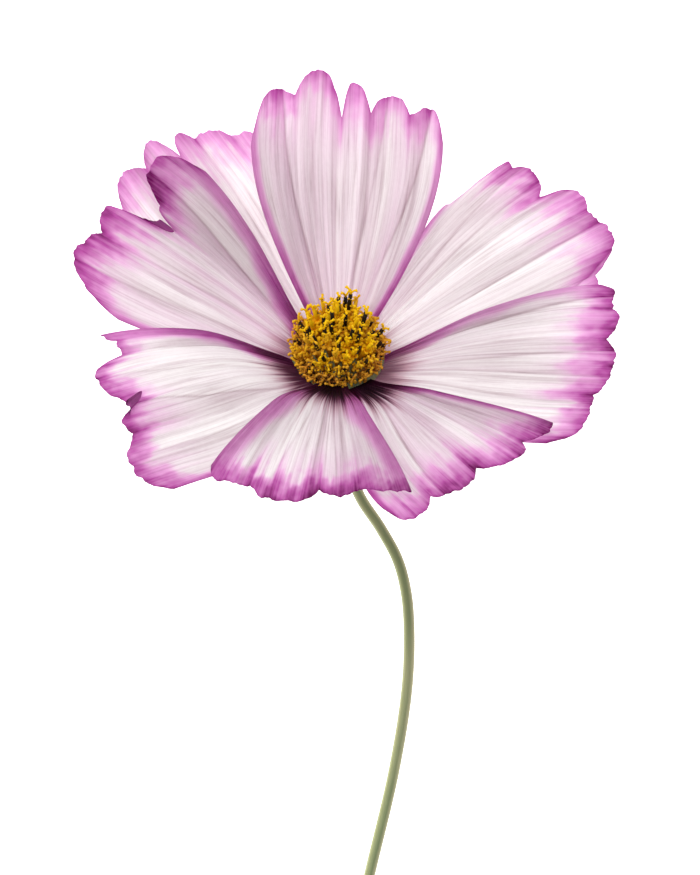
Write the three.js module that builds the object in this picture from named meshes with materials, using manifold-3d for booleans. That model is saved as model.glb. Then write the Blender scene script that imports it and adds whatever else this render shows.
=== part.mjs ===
// Cosmos flower: one cut bloom with eight picotee ray petals, lying on a table on three
// petal tips and its long bare stem. Millimetres, +Z up, the open face towards +Z and +Y.
import * as THREE from 'three';
import { mergeVertices } from 'three/addons/utils/BufferGeometryUtils.js';
import Module from 'manifold-3d';

const wasm = await Module();
wasm.setup();

// ---- driving dimensions ----
const headTilt = 40; // degrees between the bloom's axis and straight up
const headHeight = 14.3; // centre of the petal whorl above the table

const petalThickness = 0.45;
const petalRows = 8; // steps along a petal
const clawRadius = 2.6; // where the petals' lines would meet, from the bloom's axis
const clawStart = 2; // a petal begins this far out along its own length
const clawHalf = 0.6; // half width of the narrow foot
const clawLength = 7; // the foot widens into the blade over this length
const nearLift = 0.85; // how far one petal stands in front of the next, near the foot
const nearLiftLength = 2.8; // that step is made over this length
const farLift = 0.55; // and how much more further out
const farLiftStart = 6;
const farLiftLength = 14;
const cupPart = 0.4; // the cup is full from this part of the length on
const twistPart = 0.77; // and the twist from this part on
const toothRoundness = 2.5; // 1 is a straight-sided tooth, more is round-topped
const toothSteps = 2; // straight runs between a tooth's tip and its notch

const receptacleRadius = 3.95;
const receptacleTop = 1.7;
const receptacleSides = 18;
const stemRadius = 0.8;
const stemSides = 10;
const stemSteps = 44;

const floretSides = 6;
const floretThick = 0.36; // radius of a floret's swollen mouth
const floretSeat = 2; // underside of the rings that the florets grow from
const collarHeight = 0.3;
const collarHalf = 0.13;
const driedRings = 2; // the outermost rings are past their bloom and browner

const bractCount = 8;
const bractThickness = 0.35;

const weldGap = 1e-5; // points closer than this are one point

// One entry per ray petal. azimuth is about the bloom's axis, lengths are from the whorl.
//   rise, bend   slope at the foot and its change towards the tip, in degrees
//   half         half widths [clockwise side, counter-clockwise side]
//   wideAt       part of the length at which each side is widest
//   flare        over 1 keeps that side narrow near the foot
//   layer        0 is the rearmost petal, each next one lies in front
//   edge         corner, then tooth tip and notch by turns, then corner, each as
//                [side position -1..1, distance from the whorl]
const petals = [
  {
    name: 'petal_1', azimuth: 88, length: 41, rise: 32, bend: -21, twist: 0, cup: 0.06, layer: 1,
    half: [13.8, 13.4], wideAt: [0.74, 0.78], flare: [0.95, 1.1],
    edge: [
      [-1, 31], [-0.85, 36.5], [-0.65, 35.5], [-0.45, 38.5], [-0.25, 36], [-0.05, 40.5], [0.05, 35],
      [0.3, 42.5], [0.55, 38.5], [0.75, 39], [1, 30],
    ],
  },
  {
    name: 'petal_2', azimuth: 33, length: 42, rise: 25, bend: -24.9, twist: -4.5, cup: 0.05, layer: 0,
    half: [16.6, 16.2], wideAt: [0.95, 0.98], flare: [1, 1.25],
    edge: [
      [-1, 30], [-0.78, 33.6], [-0.72, 34.2], [-0.3, 40.4], [-0.05, 40], [0.15, 41], [0.35, 36.5],
      [0.64, 38], [0.78, 36.3], [0.85, 36.6], [0.89, 30], [0.94, 25], [1, 22],
    ],
  },
  {
    name: 'petal_3', azimuth: -18, length: 42, rise: 24, bend: -8, twist: 0, cup: 0.06, layer: 1,
    half: [15.5, 14.7], wideAt: [0.8, 0.85], flare: [1.1, 1.25],
    edge: [
      [-1, 35], [-0.7, 39.5], [-0.35, 38.5], [-0.05, 40], [0.35, 37],
      [0.55, 38.5], [0.7, 36.5], [0.85, 36.5], [1, 33.5],
    ],
  },
  {
    name: 'petal_4', azimuth: -59, length: 41, rise: 28, bend: -14, twist: 0, cup: 0.06, layer: 2,
    half: [15, 15], wideAt: [0.9, 1.2], flare: [2.2, 2.2],
    edge: [
      [-1, 37.5], [-0.9, 42], [-0.55, 39], [-0.35, 40], [0, 37],
      [0.4, 39.5], [0.6, 36.5], [0.85, 37.5], [1, 36.5],
    ],
  },
  {
    name: 'petal_5', azimuth: -96, length: 40, rise: 30, bend: -16, twist: 0, cup: 0.06, layer: 3,
    half: [15.6, 16.6], wideAt: [1.3, 1.35], flare: [1.4, 1.9],
    edge: [
      [-1, 36], [-0.8, 39.5], [-0.55, 39], [-0.25, 42], [0.1, 38],
      [0.3, 39.5], [0.5, 37.5], [0.8, 38.5], [1, 38],
    ],
  },
  {
    name: 'petal_6', azimuth: -144, length: 41, rise: 29, bend: -14, twist: 0, cup: 0.06, layer: 2,
    half: [13.2, 17], wideAt: [0.8, 0.8], flare: [0.95, 1.1],
    edge: [
      [-1, 31.4], [-0.93, 31.5], [-0.87, 29.8], [-0.78, 30.6], [-0.69, 30.6], [-0.45, 37.4],
      [-0.01, 35.6], [0.19, 39.4], [0.29, 38.6], [0.8, 43.5], [1, 41],
    ],
  },
  {
    name: 'petal_7', azimuth: 154, length: 40, rise: 28, bend: -12, twist: 0, cup: 0.06, layer: 1,
    half: [15.6, 15.6], wideAt: [0.9, 0.85], flare: [1.5, 0.9],
    edge: [
      [-1, 28.5], [-0.7, 35.3], [-0.4, 31.2], [-0.39, 31], [-0.23, 26.5], [-0.2, 30.6], [-0.15, 31],
      [0, 37.2], [0.2, 35.5], [0.5, 37], [1, 27],
    ],
  },
  {
    name: 'petal_8', azimuth: 126, length: 40, rise: 24, bend: -14.5, twist: 0, cup: 0.05, layer: 0,
    half: [12.2, 13.6], wideAt: [0.8, 0.8], flare: [1.4, 2.6],
    edge: [
      [-1, 31], [-0.78, 35.4], [-0.62, 36.6], [-0.42, 38.4], [-0.28, 38.4], [-0.14, 40.4], [0, 37],
      [0.2, 41], [0.4, 38], [0.6, 38.5], [1, 30],
    ],
  },
];

// Rings of disc florets, outermost first. radius and top are those of the floret tips.
const floretRings = [
  { count: 21, foot: 3.6, radius: 6.6, top: 6 },
  { count: 18, foot: 2.95, radius: 5.65, top: 7.9 },
  { count: 15, foot: 2.3, radius: 4.65, top: 9.9 },
  { count: 12, foot: 1.65, radius: 3.4, top: 11.2 },
  { count: 8, foot: 1, radius: 2.1, top: 11.9 },
  { count: 4, foot: 0.3, radius: 0.8, top: 12.2 },
];

// Side of one floret above its foot: [part of its radius, part of its length].
const floretProfile = [[0.6, 0.35], [1, 0.72], [0.45, 0.86]];

// Centre line of the stem: from inside the receptacle, down to the table, then along it.
const stemLine = [
  [0, -2.9, 10.9], [0.1, -4.7, 8.7], [0.4, -8.2, 5], [1.3, -12.8, 2.2], [3.1, -17.8, 1], [6.1, -22.4, 0.8],
  [8.5, -26.9, 0.8], [9.7, -31.6, 0.8], [10.1, -37, 0.8], [9.8, -45, 0.8], [8, -56.5, 0.8],
  [4.6, -71, 0.8], [-0.4, -92, 0.8],
];

// Side profile of the receptacle: [radius, height] along the bloom's axis.
const receptacleProfile = [
  [0, -5.6], [0.95, -5.5], [1.5, -4.8], [2.6, -3.3], [3.5, -1.6], [receptacleRadius, 0.2],
  [receptacleRadius, 1], [3.4, receptacleTop - 0.1], [0, receptacleTop],
];

// The two rows of bracts. line is [radius, height] from the foot outwards, keel how far the sides
// stand back from the middle, and the half width is narrow + swell * sin(pi * (start + span * t)).
const innerBract = {
  line: [[3, -3.75], [3.6, -2.75], [4.15, -1.6], [4.55, -0.3], [5.1, 0.3]],
  rows: 5, keel: -0.3, narrow: 0.25, swell: 1.15, start: 0.12, span: 0.8, bluntness: 0.8,
};
const outerBract = {
  line: [[2, -5.25], [3.4, -4.95], [5.6, -4.3], [8, -3.9], [10.2, -4.2]],
  rows: 6, keel: 0.15, narrow: 0.2, swell: 0.75, start: 0.15, span: 0.78, bluntness: 1,
};
const bractStops = [-1, -0.35, 0.35, 1];

// ---- materials ----
function material(color, roughness) {
  return new THREE.MeshStandardMaterial({ color, roughness, metalness: 0, side: THREE.DoubleSide });
}

const petalMaterial = material(0xeed9ea, 0.6);
const floretMaterial = material(0xe0a81c, 0.65);
const driedFloretMaterial = material(0xb98a2c, 0.75);
const stemMaterial = material(0x85906a, 0.55);
const innerBractMaterial = material(0x9a9460, 0.6);
const outerBractMaterial = material(0x6f8a4a, 0.6);

// ---- helpers ----
const radians = THREE.MathUtils.degToRad;
const { lerp } = THREE.MathUtils;

function ease(x) {
  const c = THREE.MathUtils.clamp(x, 0, 1);
  return c * c * (3 - 2 * c);
}

function toSolid(geometry) {
  const bare = geometry.clone();
  bare.deleteAttribute('normal');
  bare.deleteAttribute('uv');
  const merged = mergeVertices(bare, weldGap);
  const vertProperties = new Float32Array(merged.attributes.position.array);
  const triVerts = new Uint32Array(merged.index.array);
  return new wasm.Manifold(new wasm.Mesh({ numProp: 3, vertProperties, triVerts }));
}

function toGeometry(solid) {
  const mesh = solid.getMesh();
  const geometry = new THREE.BufferGeometry();
  geometry.setAttribute('position', new THREE.BufferAttribute(mesh.vertProperties, 3));
  geometry.setIndex(new THREE.BufferAttribute(mesh.triVerts, 1));
  geometry.computeVertexNormals();
  return geometry;
}

function joined(geometries) {
  let solid = toSolid(geometries[0]);
  for (const geometry of geometries.slice(1)) {
    solid = solid.add(toSolid(geometry));
  }
  return toGeometry(solid);
}

// A point at [away from the axis, sideways, height], turned about the bloom's axis.
function turned(away, sideways, height, turn) {
  return new THREE.Vector3(
    away * Math.cos(turn) - sideways * Math.sin(turn),
    away * Math.sin(turn) + sideways * Math.cos(turn),
    height,
  );
}

// A thin sheet with a grid of points: place(across, along, face) puts each one in space,
// with across in -1..1, along in 0..1 and face -1 behind or +1 in front.
function sheet(acrossStops, rows, place) {
  const columns = acrossStops.length - 1;
  const geometry = new THREE.BoxGeometry(columns, 1, 2, columns, rows, 1);
  const position = geometry.attributes.position;
  for (let i = 0; i < position.count; i += 1) {
    const column = Math.round(columns / 2 - position.getX(i));
    const point = place(acrossStops[column], position.getY(i) + 0.5, position.getZ(i));
    position.setXYZ(i, point.x, point.y, point.z);
  }
  geometry.deleteAttribute('normal');
  geometry.deleteAttribute('uv');
  const closed = mergeVertices(geometry, weldGap);
  closed.computeVertexNormals();
  return closed;
}

function ringOf(count, radius, low, high, halfWidth) {
  const profile = [
    new THREE.Vector2(radius - halfWidth, low),
    new THREE.Vector2(radius + halfWidth, low),
    new THREE.Vector2(radius + halfWidth, high),
    new THREE.Vector2(radius - halfWidth, high),
    new THREE.Vector2(radius - halfWidth, low),
  ];
  return new THREE.LatheGeometry(profile, count).rotateX(Math.PI / 2);
}

// ---- ray petals ----
// Runs round-topped teeth through an edge's tips and notches. Odd entries are tips.
function toothedEdge(edge) {
  const stops = [];
  for (let i = 0; i < edge.length - 1; i += 1) {
    const [fromSide, fromReach] = edge[i];
    const [toSide, toReach] = edge[i + 1];
    for (let step = 0; step < toothSteps; step += 1) {
      const part = step / toothSteps;
      const leavingTip = i % 2 === 1;
      const change = leavingTip ? part ** toothRoundness : 1 - (1 - part) ** toothRoundness;
      stops.push([lerp(fromSide, toSide, part), lerp(fromReach, toReach, change)]);
    }
  }
  stops.push(edge.at(-1));
  return stops;
}

function petalGeometry(petal) {
  const stops = toothedEdge(petal.edge);
  const reachOf = new Map(stops);
  const slope = radians(petal.rise);
  const curl = radians(petal.bend);
  const turn = radians(petal.azimuth);

  function place(across, along, face) {
    const side = across < 0 ? 0 : 1;
    const out = clawStart + along * (reachOf.get(across) - clawStart);
    const part = out / petal.length;
    const swell = Math.sin((Math.PI / 2) * Math.min(1, part / petal.wideAt[side])) ** petal.flare[side];
    const opening = ease((out - clawStart + clawHalf) / clawLength);
    const halfWidth = clawHalf + (petal.half[side] - clawHalf) * swell * opening;

    const here = slope + curl * part;
    const radial = clawRadius + (petal.length * (Math.sin(here) - Math.sin(slope))) / curl;
    const height = (petal.length * (Math.cos(slope) - Math.cos(here))) / curl;

    const nearStep = nearLift * ease((out - clawStart) / nearLiftLength);
    const farStep = farLift * ease((out - farLiftStart) / farLiftLength);
    const cupped = petal.cup * across * across * halfWidth * ease(part / cupPart);
    const lift = petal.layer * (nearStep + farStep) + cupped + (face * petalThickness) / 2;
    const roll = radians(petal.twist) * ease(part / twistPart);
    const sideways = across * halfWidth * Math.cos(roll) - lift * Math.sin(roll);
    const forward = across * halfWidth * Math.sin(roll) + lift * Math.cos(roll);
    return turned(radial - forward * Math.sin(here), sideways, height + forward * Math.cos(here), turn);
  }

  return sheet(stops.map(([side]) => side), petalRows, place);
}

// ---- disc florets ----
// One tubular floret: slim foot, swollen mouth, blunt column of anthers above it.
function floretGeometry(length) {
  const profile = [
    new THREE.Vector2(0, 0),
    new THREE.Vector2(collarHalf, 0),
    ...floretProfile.map(([wide, high]) => new THREE.Vector2(wide * floretThick, high * length)),
    new THREE.Vector2(0, length),
  ];
  return new THREE.LatheGeometry(profile, floretSides).rotateX(Math.PI / 2);
}

function floretRingGeometry(ring, index) {
  const pieces = [ringOf(2 * ring.count, ring.foot, floretSeat, floretSeat + collarHeight, collarHalf)];
  const spread = ring.radius - ring.foot;
  const climb = ring.top - floretSeat;
  const lean = Math.atan2(spread, climb);
  const rooted = collarHeight / 2;
  const stagger = 0.5 * (index % 2);
  for (let i = 0; i < ring.count; i += 1) {
    const floret = floretGeometry(Math.hypot(spread, climb) - rooted);
    floret.rotateY(lean);
    floret.translate(ring.foot, 0, floretSeat + rooted);
    floret.rotateZ((2 * Math.PI * (i + stagger)) / ring.count);
    pieces.push(floret);
  }
  return joined(pieces);
}

// ---- stem and receptacle, which grew as one ----
function receptacleGeometry() {
  const profile = receptacleProfile.map(([radius, height]) => new THREE.Vector2(radius, height));
  const body = new THREE.LatheGeometry(profile, receptacleSides).rotateX(Math.PI / 2);
  body.rotateX(-radians(headTilt));
  return body.translate(0, 0, headHeight);
}

function stemGeometry() {
  const outline = new THREE.Shape();
  for (let i = 0; i < stemSides; i += 1) {
    const turn = (2 * Math.PI * i) / stemSides;
    const corner = [stemRadius * Math.cos(turn), stemRadius * Math.sin(turn)];
    if (i === 0) {
      outline.moveTo(...corner);
    } else {
      outline.lineTo(...corner);
    }
  }
  outline.closePath();
  const line = new THREE.CatmullRomCurve3(stemLine.map((point) => new THREE.Vector3(...point)));
  const tube = new THREE.ExtrudeGeometry(outline, { steps: stemSteps, extrudePath: line });
  return joined([tube, receptacleGeometry()]);
}

// ---- bracts behind the bloom ----
function bractGeometry(bract, azimuth) {
  const points = bract.line.map(([radius, height]) => new THREE.Vector3(radius, 0, height));
  const path = new THREE.CatmullRomCurve3(points);
  const turn = radians(azimuth);

  function place(across, along, face) {
    const middle = path.getPoint(along);
    const tangent = path.getTangent(along);
    const bulge = Math.sin(Math.PI * (bract.start + bract.span * along)) ** bract.bluntness;
    const halfWidth = bract.narrow + bract.swell * bulge;
    const back = (face * bractThickness) / 2 + bract.keel * across * across * halfWidth;
    return turned(middle.x - tangent.z * back, across * halfWidth, middle.z + tangent.x * back, turn);
  }

  return sheet(bractStops, bract.rows, place);
}

// ---- assembly ----
const flower = new THREE.Group();
flower.name = 'cosmos_flower';

const head = new THREE.Group();
head.position.z = headHeight;
head.rotation.x = -radians(headTilt);

function addPiece(parent, name, geometry, look) {
  const mesh = new THREE.Mesh(geometry, look);
  mesh.name = name;
  parent.add(mesh);
}

addPiece(flower, 'stem', stemGeometry(), stemMaterial);

for (const petal of petals) {
  addPiece(head, petal.name, petalGeometry(petal), petalMaterial);
}

floretRings.forEach((ring, index) => {
  const look = index < driedRings ? driedFloretMaterial : floretMaterial;
  addPiece(head, `disc_ring_${index + 1}`, floretRingGeometry(ring, index), look);
});

const bractTurn = 360 / bractCount; // the inner bracts stand between the outer ones
for (let i = 0; i < bractCount; i += 1) {
  const inner = bractGeometry(innerBract, (i + 0.5) * bractTurn);
  const outer = bractGeometry(outerBract, i * bractTurn);
  addPiece(head, `inner_bract_${i + 1}`, inner, innerBractMaterial);
  addPiece(head, `outer_bract_${i + 1}`, outer, outerBractMaterial);
}

flower.add(head);

// Origin: middle of the footprint, on the table.
flower.updateMatrixWorld(true);
const box = new THREE.Box3().setFromObject(flower, true);
const centre = box.getCenter(new THREE.Vector3());
for (const child of flower.children) {
  child.position.sub(new THREE.Vector3(centre.x, centre.y, box.min.z));
}

export default flower;
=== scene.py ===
import math
from functools import partial
import bmesh
import bpy
import numpy as np
from mathutils import Matrix, Vector


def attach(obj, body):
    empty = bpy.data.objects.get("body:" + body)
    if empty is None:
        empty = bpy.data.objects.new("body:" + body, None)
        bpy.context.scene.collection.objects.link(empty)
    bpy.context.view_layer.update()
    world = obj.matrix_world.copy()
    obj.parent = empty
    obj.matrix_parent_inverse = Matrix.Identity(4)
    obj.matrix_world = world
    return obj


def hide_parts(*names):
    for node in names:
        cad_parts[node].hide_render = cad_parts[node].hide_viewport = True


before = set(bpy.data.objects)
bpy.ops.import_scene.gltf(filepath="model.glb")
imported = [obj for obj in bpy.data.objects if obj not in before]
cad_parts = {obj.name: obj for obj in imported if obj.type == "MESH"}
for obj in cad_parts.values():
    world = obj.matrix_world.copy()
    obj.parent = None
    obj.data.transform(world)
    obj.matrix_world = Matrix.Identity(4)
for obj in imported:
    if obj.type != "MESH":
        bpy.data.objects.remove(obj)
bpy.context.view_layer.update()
mm = 0.001

# smooth noise is read off tables of random numbers that repeat
noiseMake = {"length": 512, "side": 64, "shift": 100, "lineSeed": 31, "patchSeed": 37, "lineTop": 1.5,
             "patchTop": 1.3}


def ease(x):
    c = np.clip(x, 0, 1)
    return c * c * (3 - 2 * c)


def softNoise(x, seed, octaves=3):
    # smooth noise along one number, about -1 to 1
    length, shift = noiseMake["length"], noiseMake["shift"]
    total, size = np.zeros_like(x), 1.0
    for octave in range(octaves):
        table = np.random.default_rng(seed * noiseMake["lineSeed"] + octave).uniform(-1, 1, length)
        spot = x * 2 ** octave + shift
        whole = np.floor(spot).astype(int)
        part = ease(spot - whole)
        total = total + size * (table[whole % length] * (1 - part) + table[(whole + 1) % length] * part)
        size *= 0.5
    return total / noiseMake["lineTop"]


def patchNoise(x, y, seed, octaves=3):
    # smooth patches over two numbers, about -1 to 1
    side, shift = noiseMake["side"], noiseMake["shift"]
    total, size = np.zeros_like(x), 1.0
    for octave in range(octaves):
        table = np.random.default_rng(seed * noiseMake["patchSeed"] + octave).uniform(-1, 1, (side, side))
        u, v = x * 2 ** octave + shift, y * 2 ** octave + shift
        i, j = np.floor(u).astype(int), np.floor(v).astype(int)
        a, b = ease(u - i), ease(v - j)
        near = table[i % side, j % side] * (1 - a) + table[(i + 1) % side, j % side] * a
        far = table[i % side, (j + 1) % side] * (1 - a) + table[(i + 1) % side, (j + 1) % side] * a
        total = total + size * (near * (1 - b) + far * b)
        size *= 0.5
    return total / noiseMake["patchTop"]


def unit(direction):
    return direction / np.linalg.norm(direction)


def uniquePoints(names):
    points = [[tuple(round(c, 6) for c in v.co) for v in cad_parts[n].data.vertices] for n in names]
    return np.array(sorted(set(sum(points, []))))


def meshPiece(name, points, faces, uv=None, values=None, smooth=None):
    # one object from a list of points and faces, with its map and its per-point numbers;
    # smooth is how many of the faces, counted from the first, are shaded round
    mesh = bpy.data.meshes.new(name)
    mesh.from_pydata([tuple(p) for p in points], [], faces)
    if uv is not None:
        layer = mesh.uv_layers.new(name="OFBake")
        corner = np.zeros(len(mesh.loops), np.int32)
        mesh.loops.foreach_get("vertex_index", corner)
        layer.data.foreach_set("uv", np.asarray(uv, np.float32)[corner].ravel())
    for key, numbers in (values or {}).items():
        attribute = mesh.attributes.new(key, "FLOAT", "POINT")
        attribute.data.foreach_set("value", np.asarray(numbers, np.float32))
    count = len(faces) if smooth is None else smooth
    mesh.polygons.foreach_set("use_smooth", [i < count for i in range(len(faces))])
    piece = bpy.data.objects.new(name, mesh)
    bpy.context.scene.collection.objects.link(piece)
    return piece


def gridFaces(rows, columns, start=0, flip=False):
    faces = []
    for r in range(rows):
        for c in range(columns):
            a = start + r * (columns + 1) + c
            quad = (a, a + 1, a + columns + 2, a + columns + 1)
            faces.append(quad[::-1] if flip else quad)
    return faces


def shell(front, back, rows, columns):
    # closes two matching grids into one thin skin
    count = (rows + 1) * (columns + 1)
    faces = gridFaces(rows, columns) + gridFaces(rows, columns, count, True)
    rim = list(range(columns + 1))
    rim += [(r + 1) * (columns + 1) + columns for r in range(rows)]
    rim += [rows * (columns + 1) + c for c in range(columns - 1, -1, -1)]
    rim += [r * (columns + 1) for r in range(rows - 1, 0, -1)]
    for a, b in zip(rim, rim[1:] + rim[:1]):
        faces.append((b, a, a + count, b + count))
    return np.vstack([front, back]), faces


def smoothLine(points, steps):
    # centripetal Catmull-Rom, which doesn't kink where the points stand unevenly
    given = np.array(points, float)
    ends = np.vstack([2 * given[0] - given[1], given, 2 * given[-1] - given[-2]])
    line = []
    for i in range(len(given) - 1):
        a, b, c, d = ends[i:i + 4]
        gaps = [np.linalg.norm(v) ** 0.5 for v in (b - a, c - b, d - c)]
        leaving = ((b - a) / gaps[0] - (c - a) / (gaps[0] + gaps[1]) + (c - b) / gaps[1]) * gaps[1]
        arriving = ((c - b) / gaps[1] - (d - b) / (gaps[1] + gaps[2]) + (d - c) / gaps[2]) * gaps[1]
        for t in np.linspace(0, 1, steps, endpoint=False):
            line.append(b + leaving * t + (3 * (c - b) - 2 * leaving - arriving) * t ** 2
                        + (2 * (b - c) + leaving + arriving) * t ** 3)
    line.append(given[-1])
    return np.array(line)


def roundPoint(radius, turn, height):
    return radius * math.cos(turn), radius * math.sin(turn), height


def lathe(profile, sides, start):
    # closed round body of [radius, height] pairs, the first and last on the axis
    points, faces = [(0, 0, profile[0][1])], []
    for radius, height in profile[1:-1]:
        for k in range(sides):
            points.append(roundPoint(radius, 2 * math.pi * k / sides, height))
    points.append((0, 0, profile[-1][1]))
    first = start + 1
    last = first + (len(profile) - 3) * sides
    for k in range(sides):
        n = (k + 1) % sides
        faces.append((start, first + n, first + k))
        for a in range(first, last, sides):
            faces.append((a + k, a + n, a + n + sides, a + k + sides))
        faces.append((last + k, last + n, start + len(points) - 1))
    return points, faces


def tubeAlong(line, radii, sides, start, flat=1.0):
    # closed tube with a radius at each point of its line; flat squeezes it to an oval
    points, faces = [], []
    line = np.asarray(line, float)
    for i, spot in enumerate(line):
        ahead = unit(line[min(i + 1, len(line) - 1)] - line[max(i - 1, 0)])
        across = unit(np.cross(ahead, (0.3, 0.2, 0.9)))  # any direction that no line here follows
        other = np.cross(ahead, across)
        for k in range(sides):
            turn = 2 * math.pi * k / sides
            points.append(spot + radii[i] * (math.cos(turn) * across + flat * math.sin(turn) * other))
    last = start + (len(line) - 1) * sides
    for a in range(start, last, sides):
        for k in range(sides):
            n = (k + 1) % sides
            faces.append((a + k, a + n, a + n + sides, a + k + sides))
    faces.append(tuple(reversed(range(start, start + sides))))
    faces.append(tuple(range(last, last + sides)))
    return points, faces


headFacts = {"receptacleTop": 1.7 * mm, "bractCount": 8, "ringCount": 6}
ringNames = [f"disc_ring_{i + 1}" for i in range(headFacts["ringCount"])]
outerNames = [f"outer_bract_{i + 1}" for i in range(headFacts["bractCount"])]
lowPoint = uniquePoints(outerNames).mean(0)
highPoint = uniquePoints(ringNames).mean(0)
axis = unit(highPoint - lowPoint)
stemReach = ((uniquePoints(["stem"]) - lowPoint) @ axis).max()
headCentre = lowPoint + axis * (stemReach - headFacts["receptacleTop"])
headSide = unit(np.array([1, 0, 0]) - axis * axis[0])
headTurn = np.stack([headSide, np.cross(axis, headSide), axis])
print("bloom centre mm", (headCentre / mm).round(2), "tilt", round(math.degrees(math.acos(axis[2])), 2))


def fromHead(points):
    # head millimetres to the frame's metres
    return np.asarray(points) * mm @ headTurn + headCentre


def around(away, sideways, height, turn):
    # a point this far out, to the side and up, turned about the bloom's axis
    return np.stack([away * math.cos(turn) - sideways * math.sin(turn),
                     away * math.sin(turn) + sideways * math.cos(turn), height], -1)


# right and back are where it looks, from the bloom's centre
camera = {"lens": 250, "sensor": 36, "height": 850 * mm, "right": 1.68 * mm, "back": 9.45 * mm,
          "nearest": 0.01, "farthest": 10}
eye = bpy.data.objects.new("Camera", bpy.data.cameras.new("Camera"))
eye.data.lens = camera["lens"]
eye.data.sensor_width = camera["sensor"]
eye.data.clip_start = camera["nearest"]
eye.data.clip_end = camera["farthest"]
eye.location = headCentre + (camera["right"], -camera["back"], camera["height"])
bpy.context.scene.collection.objects.link(eye)
bpy.context.scene.camera = eye


def newMaterial(name):
    material = bpy.data.materials.new(name)
    material.use_nodes = True
    tree = material.node_tree
    return material, tree, tree.nodes["Principled BSDF"]


def addNode(tree, kind, values=None, **settings):
    node = tree.nodes.new(kind)
    for key, value in settings.items():
        setattr(node, key, value)
    for key, value in (values or {}).items():
        node.inputs[key].default_value = value
    return node


def attributeOf(tree, name):
    return addNode(tree, "ShaderNodeAttribute", attribute_name=name).outputs["Fac"]


def ownMap(tree):
    return addNode(tree, "ShaderNodeUVMap", uv_map="OFBake").outputs["UV"]


def ramp(tree, factor, stops):
    node = addNode(tree, "ShaderNodeValToRGB")
    bar = node.color_ramp
    while len(bar.elements) < len(stops):
        bar.elements.new(0.5)
    for element, (place, colour) in zip(bar.elements, stops):
        element.position = place
        element.color = (*colour, 1)
    tree.links.new(factor, node.inputs["Fac"])
    return node.outputs["Color"]


def mathNode(tree, operation, a, b=0, clamp=False):
    node = addNode(tree, "ShaderNodeMath", operation=operation, use_clamp=clamp)
    for socket, value in zip(node.inputs, (a, b)):
        if isinstance(value, (int, float)):
            socket.default_value = value
        else:
            tree.links.new(value, socket)
    return node.outputs[0]


def aboveBy(tree, value, level, gain):
    # how far a value stands above a level, times gain, kept within 0 and 1
    return mathNode(tree, "MULTIPLY", mathNode(tree, "SUBTRACT", value, level, True), gain, True)


def aboutMiddle(tree, noise, gain):
    return mathNode(tree, "MULTIPLY", mathNode(tree, "SUBTRACT", noise, 0.5), gain)


def mixColour(tree, factor, a, b, blend="MIX"):
    node = addNode(tree, "ShaderNodeMix", data_type="RGBA", blend_type=blend)
    # inputs 6 and 7 and output 2 are this node's colour sockets
    for socket, value in ((node.inputs[0], factor), (node.inputs[6], a), (node.inputs[7], b)):
        if isinstance(value, (int, float, tuple)):
            socket.default_value = (*value, 1) if isinstance(value, tuple) else value
        else:
            tree.links.new(value, socket)
    return node.outputs[2]


def stretchedNoise(tree, across, along, detail=3, roughness=0.55, seed=0):
    # noise drawn out along the piece, over its own map
    place = (seed, seed * 1.7, 0)  # away from the other noises' patterns
    mapping = addNode(tree, "ShaderNodeMapping", {"Scale": (across, along, 1), "Location": place})
    tree.links.new(ownMap(tree), mapping.inputs["Vector"])
    noise = addNode(tree, "ShaderNodeTexNoise", {"Scale": 1.0, "Detail": detail, "Roughness": roughness})
    tree.links.new(mapping.outputs["Vector"], noise.inputs["Vector"])
    return noise.outputs["Fac"]


def addSurface(tree, shader, colour, height, look):
    # colour, roughness, small bumps and, where the look has one, a shine of its own
    tree.links.new(colour, shader.inputs["Base Color"])
    shader.inputs["Roughness"].default_value = look["roughness"]
    if "shine" in look:
        shader.inputs["Specular IOR Level"].default_value = look["shine"]
    strength, distance = look["bump"]
    bump = addNode(tree, "ShaderNodeBump", {"Strength": strength, "Distance": distance})
    tree.links.new(height, bump.inputs["Height"])
    tree.links.new(bump.outputs["Normal"], shader.inputs["Normal"])
    return bump.outputs["Normal"]


# lengths, depths and widths in millimetres; Part values are shares of the petal's length
petalMake = {
    "thickness": 0.18, "columns": 160, "rows": 100, "rowCrowding": 1.25,
    "clawRadius": 2.6, "clawStart": 2, "clawHalf": 1.7, "clawLength": 5,  # the claw is the narrow foot
    "nearLift": 0.45, "nearLiftLead": 1.5, "nearLiftLength": 2.8,  # each layer lies this far over the last
    "farLift": 0.95, "farLiftStart": 3, "farLiftLength": 15,
    "cupPart": 0.4, "twistPart": 0.77, "toothRoundness": 2.5, "risingShade": 0.25,
    "pleatDepth": 0.34, "pleatStart": 4, "pleatGrow": 16, "pleatSideFade": 0.35,
    "pleatSeed": 90, "faintestPleat": 0.25,
    "ribDepth": 0.06, "ribCount": 13, "ribGrow": 9,
    "creaseStart": 12, "creaseInward": -0.4, "creaseDepth": 0.34, "creaseWidth": 1.1, "creaseLine": 0.17,
    "creaseShade": 2.2, "creaseShadeEdge": 0.2, "foldRound": 2, "foldColour": 0.8,
}

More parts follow.
